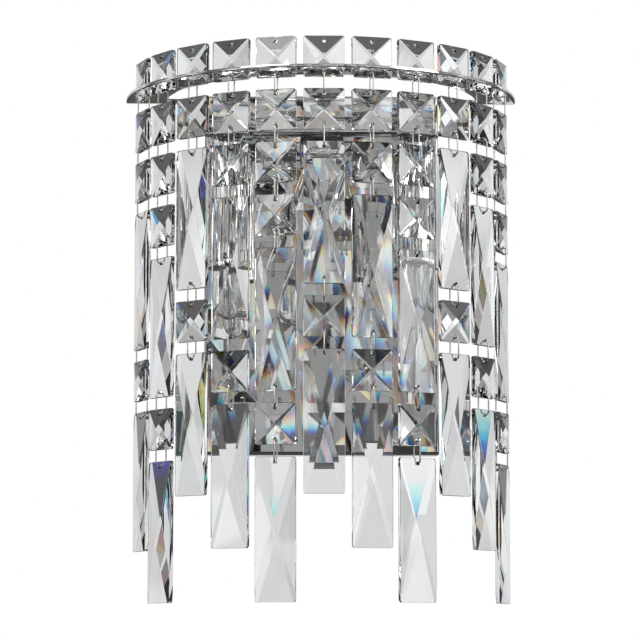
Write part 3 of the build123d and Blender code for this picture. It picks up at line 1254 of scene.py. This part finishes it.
@dataclass
class Studio:
    """Camera, floor and the light tent round the object."""

    lens: float = 161.94
    sensor: float = 36.0
    camera_place: tuple[float, float, float] = (-0.0271, -1.610, -0.2016)
    camera_tilt: float = 96.33
    camera_turn: float = -0.95
    nearest: float = 0.05
    farthest: float = 50.0
    floor_level: float = -1.0
    floor_size: float = 1.5
    floor_pale: tuple[float, float, float] = (0.86, 0.86, 0.86)
    # Painted shade: the floor's colour for every ray but the camera's.
    floor_painted_shade: tuple[float, float, float] = (0.06, 0.06, 0.06)
    floor_cloud: float = 0.04
    # Each soft lamp's name, place, size and power in watts.
    lamps: tuple[tuple[str, tuple[float, float, float], float, float], ...] = (
        ("key", (-0.9, -1.3, 1.2), 0.9, 14.0),
        ("fill", (1.3, -0.9, 0.5), 0.8, 7.0),
    )
    # How far glass spreads red and blue apart, in degrees.
    spectrum: float = 0.35
    # Brightness of the tent at the level of the object, by the angle from straight in front.
    tent: tuple[tuple[float, float], ...] = (
        (-180.0, 1.0), (-145.0, 1.0), (-130.0, 1.2), (-122.0, 0.3), (-112.0, 0.3), (-104.0, 0.9),
        (-78.0, 1.0), (-72.0, 0.35), (-62.0, 0.4), (-56.0, 1.1), (-34.0, 1.1), (-28.0, 0.7),
        (-22.0, 1.0), (22.0, 1.0), (28.0, 0.6), (36.0, 1.1), (60.0, 1.0), (66.0, 0.4),
        (80.0, 0.5), (88.0, 1.0), (106.0, 0.9), (114.0, 0.3), (122.0, 0.35), (132.0, 1.2),
        (146.0, 1.0), (180.0, 1.0),
    )
    # Brightness of the tent by the angle above the horizon.
    rise: tuple[tuple[float, float], ...] = (
        (-90.0, 0.1), (-60.0, 0.3), (-45.0, 0.6), (-30.0, 0.5), (-15.0, 1.0), (16.0, 1.0),
        (22.0, 0.8), (34.0, 0.35), (42.0, 0.5), (48.0, 1.1), (70.0, 1.1), (76.0, 0.4), (90.0, 0.5),
    )
    # The table that the object seems to stand over: a dark band below this angle.
    table_edge: float = -2.2
    table_blur: float = 0.4
    table: float = 0.14
    # Sheets behind the object: their width and height in degrees, and their least brightness.
    sheet_size: tuple[float, float] = (6.0, 5.0)
    rear_tone: float = 0.60
    rear_from: float = 125.0
    rear_full: float = 140.0
    # Cloths and bars in front of it: their width and height in degrees.
    cloth_size: tuple[float, float] = (8.0, 6.0)
    bar_size: tuple[float, float] = (1.3, 30.0)
    dark: float = 0.035
    # The bars stand this far to either side, and reach this far about it.
    bars_aside: float = 16.0
    bars_reach: float = 8.0
    # The even grey that the backplate mirrors: its brightness, level and half sizes.
    ahead: float = 0.46
    ahead_level: float = 2.5
    ahead_width: float = 6.0
    ahead_height: float = 11.0
    patch_layer: float = 4.0

    def build(self) -> None:
        """Set up the whole studio."""
        self.camera()
        self.world()
        self.floor()
        for name, place, size, power in self.lamps:
            self.lamp(name, place, size, power)
        bpy.context.scene.view_settings.view_transform = "Standard"

    def camera(self) -> None:
        """Put the camera where the photograph was taken from."""
        data = bpy.data.cameras.new("camera")
        data.lens, data.sensor_width = self.lens, self.sensor
        data.clip_start, data.clip_end = self.nearest, self.farthest
        made = bpy.data.objects.new("camera", data)
        made.location = self.camera_place
        tilt, turn = math.radians(self.camera_tilt), math.radians(self.camera_turn)
        made.rotation_euler = (tilt, 0.0, turn)
        bpy.context.scene.collection.objects.link(made)
        bpy.context.scene.camera = made

    def lamp(self, name: str, place: tuple[float, float, float], size: float, power: float) -> None:
        """Hang a soft lamp that faces the object.

        Args:
            name: The lamp's name.
            place: Where it hangs.
            size: The side of its square.
            power: Its power in watts.
        """
        data = bpy.data.lights.new(name, "AREA")
        data.size, data.energy = size, power
        made = bpy.data.objects.new(name, data)
        made.location = place
        made.rotation_euler = (-Vector(place)).to_track_quat("-Z", "Y").to_euler()
        bpy.context.scene.collection.objects.link(made)

    def floor(self) -> None:
        """Lay a floor well below the lowest crystal, plain pale to the camera and dark, a painted
        shade, to every other ray.
        """
        blank = Blank()
        bmesh.ops.create_grid(blank.mesh, x_segments=1, y_segments=1, size=self.floor_size)
        bmesh.ops.translate(blank.mesh, vec=(0, 0, self.floor_level), verts=blank.mesh.verts[:])
        mesh = blank.data("floor", 1.0)
        made = bpy.data.objects.new("floor", mesh)
        bpy.context.scene.collection.objects.link(made)
        material = bpy.data.materials.new("pale floor with painted shade")
        material.use_nodes = True
        bench = Bench(material.node_tree)
        cloud = 1.0 - self.floor_cloud * bench.noise(scale=3.0, detail=3.0)
        # Camera rays see the floor pale; reflections and bounced light see it dark, a painted shade.
        seen = bench.add("ShaderNodeLightPath", {}, {}, "Is Camera Ray") * cloud
        surface = bench.add("ShaderNodeBsdfPrincipled", {}, {
            "Base Color": bench.tint(seen, self.floor_painted_shade, self.floor_pale), "Roughness": 0.7,
        }, "BSDF")
        bench.node("ShaderNodeOutputMaterial", {}, {"Surface": surface})
        mesh.materials.append(material)

    def world(self) -> None:
        """Light the scene with a tent of panels and dark gaps, white to the camera."""
        world = bpy.data.worlds.new("tent")
        world.use_nodes = True
        bpy.context.scene.world = world
        bench = Bench(world.node_tree)
        direction = bench.add("ShaderNodeTexCoord", {}, {}, "Generated")
        parts = bench.node("ShaderNodeSeparateXYZ", {}, {"Vector": direction})
        east, north, up = (Wire(bench, output) for output in parts.outputs)
        azimuth = east.maths("ARCTAN2", -1.0 * north) * math.degrees(1.0)
        height = up.maths("ARCSINE") * math.degrees(1.0)
        bent = bench.add("ShaderNodeLightPath", {}, {}, "Is Transmission Ray")
        spread = bent * self.spectrum
        sheets = self.patches(bench, azimuth, height, self.sheet_size)
        rear = sheets.ease(0.40, 0.45, 0.0, 0.12) + sheets.ease(0.54, 0.58, 0.0, 0.16)
        rear = rear + self.rear_tone
        shades = []
        for shift in (-1.0, 0.0, 1.0):
            aside = spread * shift
            shades.append(self.shade(bench, azimuth + aside, height + aside, rear))
        colour = bench.add("ShaderNodeCombineColor", {}, dict(enumerate(shades)), "Color")
        tent = bench.add("ShaderNodeBackground", {}, {"Color": colour, "Strength": 1.0})
        pure = {"Color": (1.0, 1.0, 1.0, 1.0), "Strength": 1.0}
        white = bench.add("ShaderNodeBackground", {}, pure)
        camera = bench.add("ShaderNodeLightPath", {}, {}, "Is Camera Ray")
        surface = bench.add("ShaderNodeMixShader", {}, {0: camera, 1: tent, 2: white})
        bench.node("ShaderNodeOutputWorld", {}, {"Surface": surface})

    def shade(self, bench: Bench, azimuth: Wire, height: Wire, rear: Wire) -> Wire:
        """Brightness of the tent in a direction.

        Args:
            bench: The world's node tree.
            azimuth: The angle from straight in front, in degrees.
            height: The angle above the horizon, in degrees.
            rear: The brightness of the sheets behind the object.

        Returns:
            The brightness.
        """
        tone = self.profile(bench, self.tent, azimuth, 180.0)
        tone = tone * self.profile(bench, self.rise, height, 90.0)
        below, above = self.table_edge - self.table_blur, self.table_edge + self.table_blur
        tone = tone * height.ease(below, above, self.table, 1.0)
        away = azimuth.maths("ABSOLUTE")
        cloth = self.patches(bench, azimuth, height, self.cloth_size)
        clutter = self.dark + cloth.ease(0.38, 0.44, 0.0, 0.5) + cloth.ease(0.50, 0.56, 0.0, 0.65)
        bars = self.patches(bench, azimuth, height, self.bar_size).ease(0.42, 0.50, 0.45, 1.0)
        beside = self.within(away - self.bars_aside, self.bars_reach)
        front = tone * clutter * (1.0 - beside + bars * beside)
        mirrored = self.within(azimuth, self.ahead_width)
        mirrored = mirrored * self.within(height - self.ahead_level, self.ahead_height)
        front = front * (1.0 - mirrored) + self.ahead * mirrored
        beyond = away.ease(self.rear_from, self.rear_full)
        return front * (1.0 - beyond) + tone * rear * beyond

    @staticmethod
    def within(angle: Wire, reach: float) -> Wire:
        """One where an angle is near zero, and nothing a degree beyond its reach.

        Args:
            angle: The angle in degrees.
            reach: How far it may be from zero, either way.

        Returns:
            The share, from 0 to 1.
        """
        return angle.maths("ABSOLUTE").ease(reach, reach + 1.0, 1.0, 0.0)

    def patches(
        self, bench: Bench, azimuth: Wire, height: Wire, size: tuple[float, float]
    ) -> Wire:
        """Soft random patches over the tent.

        Args:
            bench: The world's node tree.
            azimuth: The angle from straight in front, in degrees.
            height: The angle above the horizon, in degrees.
            size: A patch's width and height in degrees.

        Returns:
            A value about one half.
        """
        values = {0: azimuth / size[0], 1: height / size[1], 2: self.patch_layer}
        place = bench.add("ShaderNodeCombineXYZ", {}, values)
        return bench.noise(scale=1.0, detail=1.0, place=place)

    @staticmethod
    def profile(
        bench: Bench, stops: Sequence[tuple[float, float]], angle: Wire, most: float
    ) -> Wire:
        """Read a brightness profile.

        Args:
            bench: The world's node tree.
            stops: Pairs of an angle and a brightness.
            angle: The angle to read it at.
            most: The largest angle.

        Returns:
            The brightness.
        """
        ramp = [((degrees + most) / (2 * most), (value,) * 3) for degrees, value in stops]
        share = angle / (2 * most) + 0.5
        return bench.add("ShaderNodeValToRGB", {"stops": ramp}, {"Fac": share}, "Color")


def main() -> None:
    """Build the sconce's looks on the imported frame, in order."""
    logging.basicConfig(level=logging.INFO, format="%(name)s: %(message)s")
    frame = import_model()
    Metalwork(frame["nodes"]).build()
    Lamps().build()
    Curtain().build()
    Studio().build()


if __name__ == "__main__":
    main()
